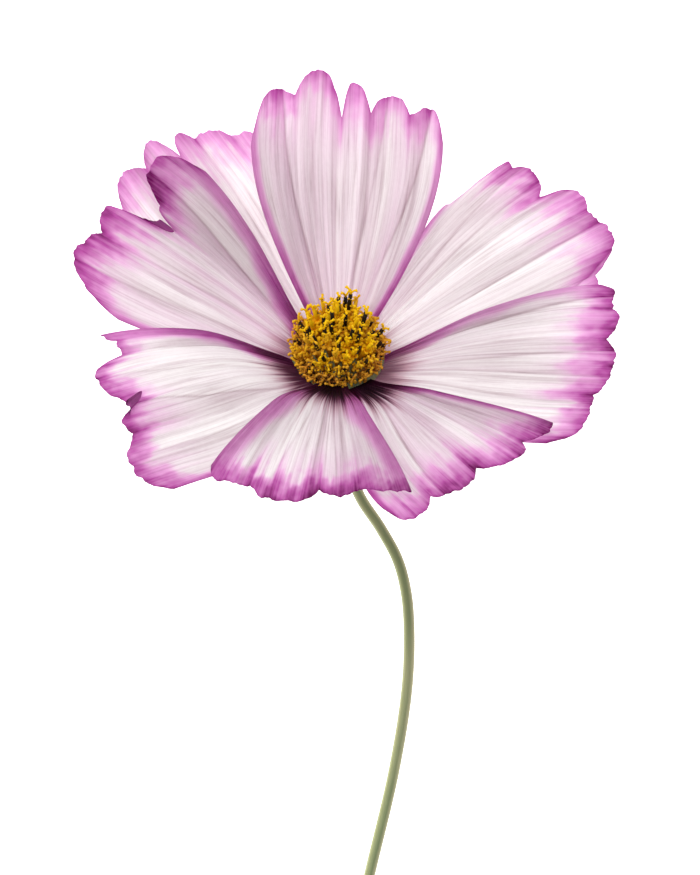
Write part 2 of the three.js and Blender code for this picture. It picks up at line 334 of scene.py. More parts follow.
# the part's own petals. edge is [side position -1..1, reach] of corners, tips and notches;
# creases are [side position at the teeth, the same near the disc, strength];
# folds are [side position of the corner, width of the fold, where it starts, radius, drift aside];
# margin is [strength, distance in from the teeth, how full]; bands are [left width, right width, strength];
# the foot's painted shadow, strongest on the petals below the disc, is [strength, reach];
# tint is the pink and the grey over the whole petal
petalPlain = {"twist": 0, "cup": 0.06, "folds": []}
petalShapes = {
    "petal_1": {
        "azimuth": 88, "length": 41, "rise": 32, "bend": -21, "layer": 1,
        "half": [13.8, 13.4], "wideAt": [0.74, 0.78], "flare": [0.95, 1.1],
        "edge": [[-1, 31], [-0.85, 36.5], [-0.65, 35.5], [-0.45, 38.5], [-0.25, 36], [-0.05, 40.5],
                 [0.05, 35], [0.3, 42.5], [0.55, 38.5], [0.75, 39], [1, 30]],
        "creases": [[0.7, 0.5, 1], [0.08, 0.1, 0.7], [-0.45, -0.2, 0.6], [-0.93, -0.58, 1]],
        "margin": [0.66, 5.5, 0], "bands": [0.8, 0.8, 0.85], "foot": [0.3, 8], "tint": [0.016, 0.06]},
    "petal_2": {
        "azimuth": 33, "length": 42, "rise": 25, "bend": -24.9, "twist": -4.5, "cup": 0.05, "layer": 0,
        "half": [16.6, 16.2], "wideAt": [0.95, 0.98], "flare": [1, 1.25],
        "edge": [[-1, 30], [-0.78, 33.6], [-0.72, 34.2], [-0.3, 40.4], [-0.05, 40], [0.15, 41],
                 [0.35, 36.5], [0.64, 38], [0.78, 36.3], [0.85, 36.6], [0.89, 30], [0.94, 25], [1, 22]],
        "creases": [[-0.22, -0.3, 1], [-0.47, -1.3, 1], [0.5, 0.38, 0.8], [0.76, 0.5, 0.7],
                    [0.25, 0.2, 0.4]],
        "margin": [0.74, 7, 0.1], "bands": [0.7, 0.7, 0.9], "foot": [0.3, 8], "tint": [0.005, 0.03]},
    "petal_3": {
        "azimuth": -18, "length": 42, "rise": 24, "bend": -8, "layer": 1,
        "half": [15.5, 14.7], "wideAt": [0.8, 0.85], "flare": [1.1, 1.25],
        "edge": [[-1, 35], [-0.7, 39.5], [-0.35, 38.5], [-0.05, 40], [0.35, 37], [0.55, 38.5], [0.7, 36.5],
                 [0.85, 36.5], [1, 33.5]],
        "creases": [[0.88, 0.68, 1.1], [0.45, 0.4, 0.4], [0.2, 0.05, 0.7], [-0.15, -0.1, 0.8],
                    [-0.5, -0.35, 0.5]],
        "margin": [0.95, 6, 0.15], "bands": [0.7, 1.4, 0.66], "foot": [0.55, 11], "tint": [0.006, 0.02]},
    "petal_4": {
        "azimuth": -59, "length": 41, "rise": 28, "bend": -14, "layer": 2,
        "half": [15, 15], "wideAt": [0.9, 1.2], "flare": [2.2, 2.2],
        "edge": [[-1, 37.5], [-0.9, 42], [-0.55, 39], [-0.35, 40], [0, 37], [0.4, 39.5], [0.6, 36.5],
                 [0.85, 37.5], [1, 36.5]],
        "creases": [[0.82, 0.62, 0.8], [-0.45, -0.35, 0.9], [-0.05, -0.05, 0.6], [0.4, 0.3, 0.4]],
        "margin": [0.92, 5.5, 0.25], "bands": [0.7, 0.8, 1], "foot": [0.95, 17], "tint": [0.02, 0.04]},
    "petal_5": {
        "azimuth": -96, "length": 40, "rise": 30, "bend": -16, "layer": 3,
        "half": [15.6, 16.6], "wideAt": [1.3, 1.35], "flare": [1.4, 1.9],
        "edge": [[-1, 36], [-0.8, 39.5], [-0.55, 39], [-0.25, 42], [0.1, 38], [0.3, 39.5], [0.5, 37.5],
                 [0.8, 38.5], [1, 38]],
        "creases": [[-0.4, -0.15, 0.6], [0, 0.02, 0.8], [0.3, 0.18, 0.5]],
        "margin": [0.95, 6, 0.65], "bands": [2.1, 1.9, 0.7], "foot": [0.97, 20], "tint": [0.015, 0.03]},
    "petal_6": {
        "azimuth": -144, "length": 41, "rise": 29, "bend": -14, "layer": 2,
        "half": [13.2, 17], "wideAt": [0.8, 0.8], "flare": [0.95, 1.1],
        "edge": [[-1, 31.4], [-0.93, 31.5], [-0.87, 29.8], [-0.78, 30.6], [-0.69, 30.6], [-0.45, 37.4],
                 [-0.01, 35.6], [0.05, 40.1], [0.13, 38.7], [0.19, 39.4], [0.29, 38.6], [0.8, 43.5],
                 [1, 41]],
        "creases": [[-0.12, 0.3, 1], [0.65, 0.7, 0.6], [-0.5, -0.2, 0.4]],
        "folds": [[-0.01, 0.15, 36.1, 0.35, -0.4]],
        "margin": [0.9, 5, 0.55], "bands": [1.9, 0.7, 1.05], "foot": [0.75, 12], "tint": [0.005, 0.03]},
    "petal_7": {
        "azimuth": 154, "length": 40, "rise": 28, "bend": -12, "layer": 1,
        "half": [15.6, 15.6], "wideAt": [0.9, 0.85], "flare": [1.5, 0.9],
        "edge": [[-1, 28.5], [-0.7, 35.3], [-0.4, 31.2], [-0.39, 31], [-0.26, 27.2], [-0.22, 33.2],
                 [-0.15, 32.8], [-0.02, 37.2], [0.2, 35.5], [0.5, 37], [1, 27]],
        "creases": [[-0.68, -0.45, 1.2], [0.25, 0.15, 0.6], [-0.05, 0, 0.4], [0.65, 0.5, 0.5]],
        "folds": [[-0.26, 0.1, 29.6, 0.35, 0.2]],
        "margin": [0.92, 7, 0.2], "bands": [1.8, 0.7, 0.92], "foot": [0.5, 9], "tint": [0.025, 0.05]},
    "petal_8": {
        "azimuth": 126, "length": 40, "rise": 24, "bend": -14.5, "cup": 0.05, "layer": 0,
        "half": [12.2, 13.6], "wideAt": [0.8, 0.8], "flare": [1.4, 2.6],
        "edge": [[-1, 31], [-0.78, 35.4], [-0.62, 36.6], [-0.42, 38.4], [-0.28, 38.4], [-0.14, 40.4],
                 [0, 37], [0.2, 41], [0.4, 38], [0.6, 38.5], [1, 30]],
        "creases": [[0.35, 0.25, 0.8], [-0.3, -0.25, 0.5]],
        "margin": [0.62, 7, 0.1], "bands": [0.7, 0.7, 1], "foot": [0.3, 8], "tint": [0.005, 0]},
}

# [waves from the petal's middle to its side, waves in a millimetre outwards, octaves, own seed, strength]
petalNoises = {
    "edge": [14, 0, 4, 0, 0.4], "vein": [60, 0, 2, 3, 0.02], "ribSway": [5, 0, 2, 7, 3],
    "sway": [3.5, 0, 2, 17, 0.26], "wander": [3, 1 / 9, 2, 21, 0.03], "broadTone": [4, 0, 2, 40, 1],
    "ribTone": [12, 0.02, 2, 41, 1], "fineTone": [38, 0.03, 2, 42, 1], "cloudTone": [2, 1 / 6, 2, 43, 0.04],
    "flameWave": [6, 0, 2, 51, 0.45], "flameThread": [30, 0, 2, 52, 0.4], "band": [0, 0.2, 2, 53, 0.3],
    "streak": [24, 0, 3, 54, 1], "footWave": [13, 0, 2, 55, 0.22], "footThread": [41, 0, 2, 57, 0.22],
    "tint": [9, 0, 3, 59, 1.5],
}
# [millimetres across, their slant, millimetres along, their slant, own seed]
petalPatches = {"flame": [1.8, 6, 3.2, 6, 58], "mottle": [0.9, 3, 1.7, 2, 56]}


def petalNoise(across, out, seed, kind):
    waves, drift, octaves, ownSeed, strength = petalNoises[kind]
    return strength * softNoise(across * waves + out * drift, seed + ownSeed, octaves)


def petalPatch(sideways, out, seed, kind):
    wide, slant, long, backSlant, ownSeed = petalPatches[kind]
    return patchNoise(sideways / wide + out / slant, out / long - sideways / backSlant, seed + ownSeed)


def toothPart(edge, across):
    # which step of the edge a point is behind, and how far along it; odd steps fall from a tip
    sides = np.array([e[0] for e in edge], float)
    i = np.clip(np.searchsorted(sides, across, side="right") - 1, 0, len(sides) - 2)
    return i, np.clip((across - sides[i]) / (sides[i + 1] - sides[i]), 0, 1)


def toothedReach(edge, across):
    # round-topped teeth through the tips and notches
    reaches = np.array([e[1] for e in edge], float)
    i, part = toothPart(edge, across)
    power = petalMake["toothRoundness"]
    change = np.where(i % 2 == 1, part ** power, 1 - (1 - part) ** power)
    return reaches[i] + (reaches[i + 1] - reaches[i]) * change


def pleatWave(edge, across, seed):
    # round crest behind each tooth, sharp crease behind each notch, no two alike; also how strong the painted
    # shade is on each flank, fullest on the side that falls from a tip
    i, part = toothPart(edge, across)
    falling = i % 2 == 1
    fromNotch = np.where(falling, 1 - part, part)
    rng = np.random.default_rng(seed + petalMake["pleatSeed"])
    power = rng.uniform(petalMake["faintestPleat"], 1, len(edge))
    notch, tip = np.where(falling, power[i + 1], power[i]), np.where(falling, power[i], power[i + 1])
    wave = (notch + tip) * np.sin(np.pi / 2 * fromNotch) - notch
    return wave, fromNotch, np.where(falling, notch, petalMake["risingShade"] * notch), notch


def thinLine(distance, strength, width):
    return strength * np.exp(-(distance / width) ** 2)


def creaseLines(shape, across, out, halfWidth):
    # the petal's own creases: a painted dark line along each, the hollow about it, and painted shade on its
    # one side
    make = petalMake
    line, hollow, shade = (np.zeros_like(out) for i in range(3))
    share = (out - make["creaseStart"]) / (shape["length"] - make["creaseStart"])
    share = np.clip(share, make["creaseInward"], 1)
    for outer, inner, strength in shape["creases"]:
        gap = (across - inner - (outer - inner) * share) * halfWidth
        line = line + thinLine(gap, strength, make["creaseLine"])
        hollow = hollow + strength * np.exp(-np.abs(gap) / make["creaseWidth"])
        oneSide = ease(0.5 + gap / make["creaseShadeEdge"])
        shade = shade + strength * np.exp(-np.abs(gap) / make["creaseShade"]) * oneSide
    return line, hollow, shade


def foldedCorner(shape, across, out, half):
    # corners turned right over onto the petal: how far a point moves along it, up from it and sideways
    along, up, aside, folded = (np.zeros_like(out) for i in range(4))
    for corner, width, start, radius, drift in shape["folds"]:
        beyond = across - corner
        begins = start + petalMake["foldRound"] * (beyond / width) ** 4
        begins = np.where(beyond < 0, 2 * shape["length"], begins)  # nothing folds before the corner
        past = np.maximum(out - begins, 0)
        angle = np.minimum(past / radius, np.pi)
        along = along + radius * np.sin(angle) - np.maximum(past - np.pi * radius, 0) - past
        along = along - half * np.sin(angle)
        up = up + radius * (1 - np.cos(angle)) + half * (np.cos(angle) - 1)
        aside = aside + drift * past
        folded = np.maximum(folded, ease(past / petalMake["foldColour"]))
    return along, up, aside, folded


def petalPoints(shape, across, along, face, seed):
    make = petalMake
    side = (across >= 0).astype(int)
    reach = toothedReach(shape["edge"], across) + petalNoise(across, 0, seed, "edge")
    start, claw = make["clawStart"], make["clawHalf"]
    out = start + along * (reach - start)
    noise = partial(petalNoise, across, out, seed)
    part = out / shape["length"]
    widest, wideAt, flare = (np.array(shape[k], float)[side] for k in ("half", "wideAt", "flare"))
    swell = np.sin(np.pi / 2 * np.minimum(1, part / wideAt)) ** flare
    opening = ease((out - start + claw) / make["clawLength"])
    halfWidth = claw + (widest - claw) * swell * opening
    slope, curl, turn = (math.radians(shape[k]) for k in ("rise", "bend", "azimuth"))
    here = slope + curl * part
    radial = make["clawRadius"] + shape["length"] * (np.sin(here) - math.sin(slope)) / curl
    height = shape["length"] * (math.cos(slope) - np.cos(here)) / curl
    step = make["nearLift"] * ease((out - start + make["nearLiftLead"]) / make["nearLiftLength"])
    step = step + make["farLift"] * ease((out - make["farLiftStart"]) / make["farLiftLength"])
    cupped = shape["cup"] * across ** 2 * halfWidth * ease(part / make["cupPart"])
    pleated = ease((out - make["pleatStart"]) / make["pleatGrow"])
    pleated = pleated * (1 - make["pleatSideFade"] * np.abs(across) ** 3)
    wave, fromNotch, shaded, notch = pleatWave(shape["edge"], across + noise("wander"), seed)
    # line and shade carry painted shade: a dark line in each crease and a darker side beside it
    line, hollow, shade = creaseLines(shape, across, out, halfWidth)
    pleat = make["pleatDepth"] * wave + noise("sway")
    pleat = (pleat - make["creaseDepth"] * hollow) * pleated
    ribPlace = np.pi * across * make["ribCount"] + noise("ribSway")
    ribs = make["ribDepth"] * np.cos(ribPlace) + noise("vein")
    half = face * make["thickness"] / 2
    pushed, raised, aside, folded = foldedCorner(shape, across, out, half)
    lift = shape["layer"] * step + cupped + pleat + ribs * ease(out / make["ribGrow"]) + half + raised
    radial = radial + pushed * np.cos(here)
    height = height + pushed * np.sin(here)
    roll = math.radians(shape["twist"]) * ease(part / make["twistPart"])
    wide = across * halfWidth + aside
    sideways = wide * np.cos(roll) - lift * np.sin(roll)
    forward = wide * np.sin(roll) + lift * np.cos(roll)
    points = around(radial - forward * np.sin(here), sideways, height + forward * np.cos(here), turn)
    tone = petalTone(shape, out, fromNotch, shaded * pleated, notch * pleated, line, shade, noise)
    patch = partial(petalPatch, across * halfWidth, out, seed)
    blush = petalBlush(shape, across, out, reach - out, halfWidth, fromNotch, folded, shade, noise, patch)
    return points, {"tone": tone, "blush": blush, "foot": petalFootShadow(shape, across, out, noise),
                    "root": ease(1 - out / petalPigmentAndShade["rootLength"])}


# strengths of the petals' greys, magentas and painted shade, and their lengths in millimetres
petalPigmentAndShade = {
    # grey-pink lines: painted shade lines in the creases and notches, painted shade beside the creases and on
    # the notch flanks, and the petal's own ribs and veins
    "creaseStart": 5, "creaseGrow": 12, "notchLine": [0.18, 0.05], "creaseLine": 0.38, "creaseShade": 0.15,
    "flank": 0.14, "flankPower": 0.8, "broad": 0.12, "rib": 0.18, "ribPower": 1.1, "fine": 0.18,
    "fineNear": 0.35, "fineGrow": 8, "greyGrow": 10,
    # flames from the teeth
    "flamePatch": 0.5, "flameShortest": 1.2, "rim": 0.06, "rimWidth": 0.7, "flame": 0.42,
    "flamePower": 1.25, "fullSteepness": 1.35, "nearFlame": 0.35, "flameFrom": 0.6, "flameOver": 0.2,
    "flameGain": 1.15, "flameEven": 0.94, "flameMottle": 0.24,
    # streaks further in
    "streakLength": 15, "streak": 0.22, "notchStreak": [0.12, 0.16], "creaseStreak": 0.3,
    # bands along the sides
    "nearLength": 2.2, "bandFar": 0.85, "bandNear": 0.4, "bandWidth": 1.9, "bandThinnest": 0.5,
    "bandSoft": 0.7, "edgeLine": [0.1, 0.4], "bandInk": 0.37, "bandNearInk": 0.44, "bandEven": 0.96,
    "bandMottle": 0.1,
    # pink over the whole petal and pinker in the painted shade beside the creases, folded corners, the
    # painted shadow at the foot and the root's lines
    "tintShade": 2, "tintGrow": 12, "overlap": 0.25, "folded": 0.62, "deepest": 0.8, "footSoft": 0.5,
    "footSideFade": 0.3, "rootLength": 18,
}


def petalTone(shape, out, fromNotch, shaded, notch, line, shade, noise):
    # grey-pink along the petal: painted shade lines in its creases and notches, painted shade beside the
    # creases and on the flank behind each notch, and its own ribs and veins
    pigmentAndShade = petalPigmentAndShade
    grown = ease((out - pigmentAndShade["creaseStart"]) / pigmentAndShade["creaseGrow"])
    crease = (pigmentAndShade["creaseLine"] * line + pigmentAndShade["creaseShade"] * shade) * grown
    crease = crease + thinLine(fromNotch, *pigmentAndShade["notchLine"]) * notch
    flank = pigmentAndShade["flank"] * shaded * np.sin(np.pi * np.clip(fromNotch, 0, 1)) ** pigmentAndShade["flankPower"]
    broad = pigmentAndShade["broad"] * np.clip(noise("broadTone"), 0, 1)
    ribs = pigmentAndShade["rib"] * np.clip(noise("ribTone"), 0, 1) ** pigmentAndShade["ribPower"]
    fine = pigmentAndShade["fine"] * np.clip(noise("fineTone"), 0, 1)
    cloud = noise("cloudTone") + shape["tint"][1] * ease(out / pigmentAndShade["greyGrow"])
    threads = (broad + ribs + fine) * ease(pigmentAndShade["fineNear"] + out / pigmentAndShade["fineGrow"])
    return np.clip(crease + flank + threads + cloud, 0, 1)


def petalFlames(shape, out, tipFar, fromNotch, shade, noise, patch):
    # colour in from the teeth, and thin streaks further in
    pigmentAndShade = petalPigmentAndShade
    strength, deep, full = shape["margin"]
    wander = 1 + noise("flameWave") + noise("flameThread") + pigmentAndShade["flamePatch"] * patch("flame")
    fade = np.clip(1 - tipFar / np.maximum(deep * wander, pigmentAndShade["flameShortest"]), 0, 1)
    flame = (1 - full) * fade ** pigmentAndShade["flamePower"] + full * ease(pigmentAndShade["fullSteepness"] * fade)
    flame = pigmentAndShade["rim"] * np.exp(-tipFar / pigmentAndShade["rimWidth"]) + pigmentAndShade["flame"] * flame
    outer = ease((out / shape["length"] - pigmentAndShade["flameFrom"]) / pigmentAndShade["flameOver"])
    far = np.clip(1 - tipFar / pigmentAndShade["streakLength"], 0, 1) * outer
    streaks = pigmentAndShade["streak"] * far * np.clip(noise("streak"), 0, 1)
    streaks = streaks + far * thinLine(fromNotch, *pigmentAndShade["notchStreak"])
    streaks = streaks + pigmentAndShade["creaseStreak"] * far ** 2 * shade
    flame = flame * (pigmentAndShade["nearFlame"] + (1 - pigmentAndShade["nearFlame"]) * outer) + streaks
    return flame * strength * pigmentAndShade["flameGain"] * (pigmentAndShade["flameEven"] + pigmentAndShade["flameMottle"] * patch("mottle"))


def petalBands(shape, across, out, halfWidth, noise, patch):
    # flat colour along the sides, deeper toward the disc
    pigmentAndShade = petalPigmentAndShade
    left, right, strength = shape["bands"]
    near = np.clip(1 - out / (pigmentAndShade["nearLength"] * shape["foot"][1]), 0, 1)
    band = np.where(across < 0, left, right) * (1 + noise("band"))
    band = band * (pigmentAndShade["bandFar"] + pigmentAndShade["bandNear"] * near)
    sideFar = (1 - np.abs(across)) * halfWidth
    inside = 1 - sideFar / np.maximum(band * pigmentAndShade["bandWidth"], pigmentAndShade["bandThinnest"])
    side = ease(inside / pigmentAndShade["bandSoft"]) + thinLine(sideFar, *pigmentAndShade["edgeLine"])
    depth = pigmentAndShade["bandInk"] + pigmentAndShade["bandNearInk"] * near
    return side * strength * depth * (pigmentAndShade["bandEven"] + pigmentAndShade["bandMottle"] * patch("mottle"))


def petalBlush(shape, across, out, tipFar, halfWidth, fromNotch, folded, shade, noise, patch):
    # 0 white to 1 deepest
    pigmentAndShade = petalPigmentAndShade
    flames = petalFlames(shape, out, tipFar, fromNotch, shade, noise, patch)
    bands = petalBands(shape, across, out, halfWidth, noise, patch)
    # the pink is stronger in the painted shade beside the creases
    uneven = 1 + noise("tint") + pigmentAndShade["tintShade"] * shade
    tint = shape["tint"][0] * uneven * ease(out / pigmentAndShade["tintGrow"])
    blush = np.maximum(flames, bands) + pigmentAndShade["overlap"] * np.minimum(flames, bands) + tint
    return np.clip(np.maximum(blush, pigmentAndShade["folded"] * folded), 0, pigmentAndShade["deepest"])


def petalFootShadow(shape, across, out, noise):
    # painted shadow at the petal's foot, strongest on the petals below the disc, drawn out into streaks
    pigmentAndShade = petalPigmentAndShade
    strength, far = shape["foot"]
    far = far * (1 + noise("footWave") + noise("footThread"))
    soft = pigmentAndShade["footSoft"] * far
    return strength * ease(1 - (out - soft) / soft) * (1 - pigmentAndShade["footSideFade"] * across ** 2)


def makePetal(name, shape, seed):
    rows, columns = petalMake["rows"], petalMake["columns"]
    crowded = 1 - (1 - np.linspace(0, 1, rows + 1)) ** petalMake["rowCrowding"]
    across, along = np.meshgrid(np.linspace(-1, 1, columns + 1), crowded)
    front, values = petalPoints(shape, across, along, 1, seed)
    back = petalPoints(shape, across, along, -1, seed)[0]
    points, faces = shell(front.reshape(-1, 3), back.reshape(-1, 3), rows, columns)
    uv = np.tile(np.stack([(across + 1) / 2, along], -1).reshape(-1, 2), (2, 1))
    values = {key: np.tile(numbers.ravel(), 2) for key, numbers in values.items()}
    piece = meshPiece(name + "_bloom", fromHead(points), faces, uv, values, 2 * rows * columns)
    piece.data.materials.append(petalMaterial)
    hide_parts(name)
    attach(piece, "root")


# noises are [waves across, waves along, detail, roughness, place]; bump is [strength, height in metres]
petalLook = {
    "blush": [(0, (0.925, 0.91, 0.905)), (0.22, (0.86, 0.58, 0.8)), (0.52, (0.62, 0.2, 0.53)),
              (0.8, (0.3, 0.01, 0.21)), (1, (0.1, 0.003, 0.07))],
    # the painted shadow at the petal's foot, white to near black
    "foot": [(0, (1, 1, 1)), (0.35, (0.76, 0.6, 0.66)), (0.7, (0.24, 0.09, 0.16)),
             (0.95, (0.035, 0.007, 0.025))],
    # rib is the grey-pink that the tone darkens toward, for the painted shade at creases and flanks as well
    # as the ribs and veins
    "rib": (0.53, 0.43, 0.46), "rootLine": (0.46, 0.17, 0.34),
    "fineNoise": [80, 2.4, 3, 0.6, 0], "lineNoise": [42, 0.9, 1.5, 0.5, 5], "speckNoise": [60, 45, 2, 0.6, 2],
    "threads": 0.7, "veins": 1.2, "lineWidth": 0.04, "lines": 5, "specks": 0.16,
    "through": 0.72, "roughness": 0.5, "shine": 0.3, "bump": [0.35, 0.2 * mm],
}


def makePetalMaterial():
    look = petalLook
    material, tree, shader = newMaterial("petal")
    fine = stretchedNoise(tree, *look["fineNoise"])
    lined = stretchedNoise(tree, *look["lineNoise"])
    speck = stretchedNoise(tree, *look["speckNoise"])
    # fine veins draw the colour out into threads
    threads = mathNode(tree, "ADD", aboutMiddle(tree, fine, look["threads"]), 1.0)
    blush = mathNode(tree, "MULTIPLY", attributeOf(tree, "blush"), threads, True)
    colour = ramp(tree, blush, look["blush"])
    veins = aboveBy(tree, fine, 0.5, look["veins"])
    # thin lines where the slow noise crosses its middle
    away = mathNode(tree, "ABSOLUTE", mathNode(tree, "SUBTRACT", lined, 0.5))
    thin = mathNode(tree, "SUBTRACT", look["lineWidth"], away, True)
    thin = mathNode(tree, "MULTIPLY", thin, look["lines"], True)
    tone = mathNode(tree, "ADD", attributeOf(tree, "tone"), mathNode(tree, "ADD", veins, thin), True)
    # the greys fade where the magenta covers them
    tone = mathNode(tree, "MULTIPLY", tone, mathNode(tree, "SUBTRACT", 1.0, blush), True)
    tone = mathNode(tree, "ADD", tone, aboutMiddle(tree, speck, look["specks"]), True)
    # darker toward the grey-pink where the tone is: painted shade at creases and notch flanks, and the
    # petal's own ribs and veins
    lineColour = mixColour(tree, attributeOf(tree, "root"), look["rib"], look["rootLine"])
    colour = mixColour(tree, tone, colour, lineColour, "MULTIPLY")
    # painted shadow at the foot, streaked by the fine veins
    foot = mathNode(tree, "MULTIPLY", attributeOf(tree, "foot"), threads, True)
    colour = mixColour(tree, 1.0, colour, ramp(tree, foot, look["foot"]), "MULTIPLY")
    normal = addSurface(tree, shader, colour, fine, look)
    glow = addNode(tree, "ShaderNodeBsdfTranslucent")
    tree.links.new(colour, glow.inputs["Color"])
    tree.links.new(normal, glow.inputs["Normal"])
    mix = addNode(tree, "ShaderNodeMixShader", {"Fac": look["through"]})
    tree.links.new(shader.outputs[0], mix.inputs[1])
    tree.links.new(glow.outputs[0], mix.inputs[2])
    tree.links.new(mix.outputs[0], tree.nodes["Material Output"].inputs["Surface"])
    return material


petalMaterial = makePetalMaterial()
for number, (name, shape) in enumerate(petalShapes.items()):
    makePetal(name, petalPlain | shape, number + 11)  # the seed sets each petal's own unevenness
print("petals made")


# outermost ring first; each round is [florets, radius at their feet, radius and height at their tops]
discRings = [
    {"dried": 1, "rounds": [[36, 4.3, 6.35, 4.4], [32, 3.9, 6.45, 5.6]]},
    {"dried": 0.7, "rounds": [[26, 2.95, 6.2, 7.6]]},
    {"dried": 0.25, "rounds": [[19, 2.3, 5.4, 10]]},
    {"dried": 0.08, "rounds": [[14, 1.65, 4.1, 11.2]]},
    {"dried": 0, "rounds": [[8, 1, 2.5, 11.5]]},
    {"dried": 0, "rounds": [[4, 0.3, 0.9, 11.5]]},
]
# pairs are the least and the most of a random spread
discMake = {"seed": 700, "seat": 2, "stray": 0.07, "lean": 0.08, "length": [0.88, 1.05], "open": [0.6, 1],
            "driedClose": 0.35, "age": [-0.5, 0.3], "outerRings": 2}
# paths and profiles are [outwards, upwards], as shares of the lobe's, the stigma's or the grain's size
floretMake = {
    "sides": 10, "tube": 0.26, "mouth": 0.8, "mouthPart": 0.7, "driedMouth": 0.3, "mouthStart": 0.5,
    "lobes": 5, "lobe": 0.62, "lobeSpread": [0.7, 1.2], "lobeStray": 0.2, "lobeSink": 0.15,
    "lobePath": [[0.45, 0.12], [0.9, 0.28], [1.15, 0.2]], "lobeRise": [0.6, 1.4],
    "lobeRadii": [0.28, 0.38, 0.34, 0.05], "driedLobe": 0.45, "lobeFlat": 0.5,
    "anther": 0.27, "antherSides": 8, "antherWaist": 1.1, "darkShare": 0.55, "columnDrop": 0.4,
    "stigma": 0.9, "stigmaSizes": [0.7, 0.85, 1, 1.2, 1.7], "stigmaSink": 0.15, "stigmaRise": 1.2,
    "stigmaPath": [[0.1, 0.16], [0.28, 0.36], [0.5, 0.46], [0.62, 0.34]],
    "stigmaRadii": [0.13, 0.15, 0.15, 0.22, 0.12], "tubeSides": 7,
    "grains": 10, "grainSize": [0.08, 0.16], "grainSpread": [0.1, 0.6], "grainTop": 0.45, "grainSides": 6,
    "grainProfile": [[0, -1], [0.8, -0.5], [1, 0.1], [0.6, 0.8], [0, 1]],
}
# the florets' materials, in the order of their slots
corollaKind, antherKind, yellowKind = range(3)


def floretBody(length, rng, openness, dried):
    # corolla with five lobes, anther column, forked stigma and grains of pollen
    make = floretMake
    points, faces, kinds = [], [], []

    def add(more, moreFaces, kind):
        points.extend(more)
        faces.extend(moreFaces)
        kinds.extend([kind] * len(moreFaces))

    mouth = length * make["mouthPart"]
    wide = make["mouth"] * (1 - make["driedMouth"] * dried)
    tube = make["tube"]
    profile = [(0, 0), (0.1, 0), (tube * 0.8, length * 0.2), (tube, length * 0.45),
               (wide * 0.6, length * 0.58), (wide * 0.66, mouth), (0.2, mouth + 0.05), (0, mouth)]
    add(*lathe(profile, make["sides"], 0), corollaKind)
    base = make["mouth"] * make["mouthStart"]
    radii = [radius * (1 - make["driedLobe"] * dried) for radius in make["lobeRadii"]]
    for k in range(make["lobes"]):
        turn = 2 * math.pi * k / make["lobes"] + rng.uniform(-make["lobeStray"], make["lobeStray"])
        reach = make["lobe"] * rng.uniform(*make["lobeSpread"]) * openness
        line = [roundPoint(base, turn, mouth - make["lobeSink"])]
        for out, up in make["lobePath"]:
            line.append(roundPoint(base + reach * out, turn, mouth + up * rng.uniform(*make["lobeRise"])))
        add(*tubeAlong(line, radii, make["tubeSides"], len(points), make["lobeFlat"]), corollaKind)
    top = length - make["stigma"] * make["columnDrop"]
    dark = rng.uniform(0, 1) < make["darkShare"]
    anther = make["anther"]
    column = [(0, mouth - 0.1), (anther, mouth - 0.1), (anther * make["antherWaist"], (mouth + top) / 2),
              (anther, top - 0.1), (0, top)]
    add(*lathe(column, make["antherSides"], len(points)), antherKind if dark else yellowKind)
    heading = rng.uniform(0, math.pi)
    size = make["stigma"] * rng.choice(make["stigmaSizes"])
    for turn in (heading, heading + math.pi):
        line = [(0, 0, top - make["stigmaSink"])]
        for out, up in make["stigmaPath"]:
            line.append(roundPoint(out * size, turn, top + up * size * make["stigmaRise"]))
        add(*tubeAlong(line, make["stigmaRadii"], make["tubeSides"], len(points)), yellowKind)
    for grain in range(make["grains"]):
        size = rng.uniform(*make["grainSize"])
        spread = rng.uniform(*make["grainSpread"])
        turn = rng.uniform(0, 2 * math.pi)
        centre = np.array(roundPoint(spread, turn, rng.uniform(mouth, top + make["grainTop"])))
        ball = [(r * size, z * size) for r, z in make["grainProfile"]]
        more, moreFaces = lathe(ball, make["grainSides"], len(points))
        add(np.array(more) + centre, moreFaces, yellowKind)
    return np.array(points), faces, kinds


def makeDiscRing(index, ring):
    make = discMake
    rng = np.random.default_rng(make["seed"] + index)
    points, faces, kinds, age, count = [], [], [], [], 0
    places = [(each, i) for each in ring["rounds"] for i in range(each[0])]
    for (florets, footRadius, topRadius, top), i in places:
        turn = 2 * math.pi * (i + 0.5 * (index % 2)) / florets + rng.uniform(-make["stray"], make["stray"])
        spread, climb = topRadius - footRadius, top - make["seat"]
        length = math.hypot(spread, climb) * rng.uniform(*make["length"])
        lean = math.atan2(spread, climb) + rng.uniform(-make["lean"], make["lean"])
        openness = rng.uniform(*make["open"]) * (1 - make["driedClose"] * ring["dried"])
        body, bodyFaces, bodyKinds = floretBody(length, rng, openness, ring["dried"])
        spin = (Matrix.Rotation(turn, 3, "Z") @ Matrix.Rotation(lean, 3, "Y")
                @ Matrix.Rotation(rng.uniform(0, 6), 3, "Z"))
        points.append(body @ np.array(spin).T + roundPoint(footRadius, turn, make["seat"]))
        faces += [tuple(v + count for v in face) for face in bodyFaces]
        kinds += bodyKinds
        age += [np.clip(ring["dried"] + rng.uniform(*make["age"]), 0, 1)] * len(body)
        count += len(body)
    piece = meshPiece(f"florets_{index + 1}", fromHead(np.vstack(points)), faces, None, {"dried": age})
    for material in floretMaterials:
        piece.data.materials.append(material)
    piece.data.polygons.foreach_set("material_index", kinds)
    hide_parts(ringNames[index])
    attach(piece, "root")


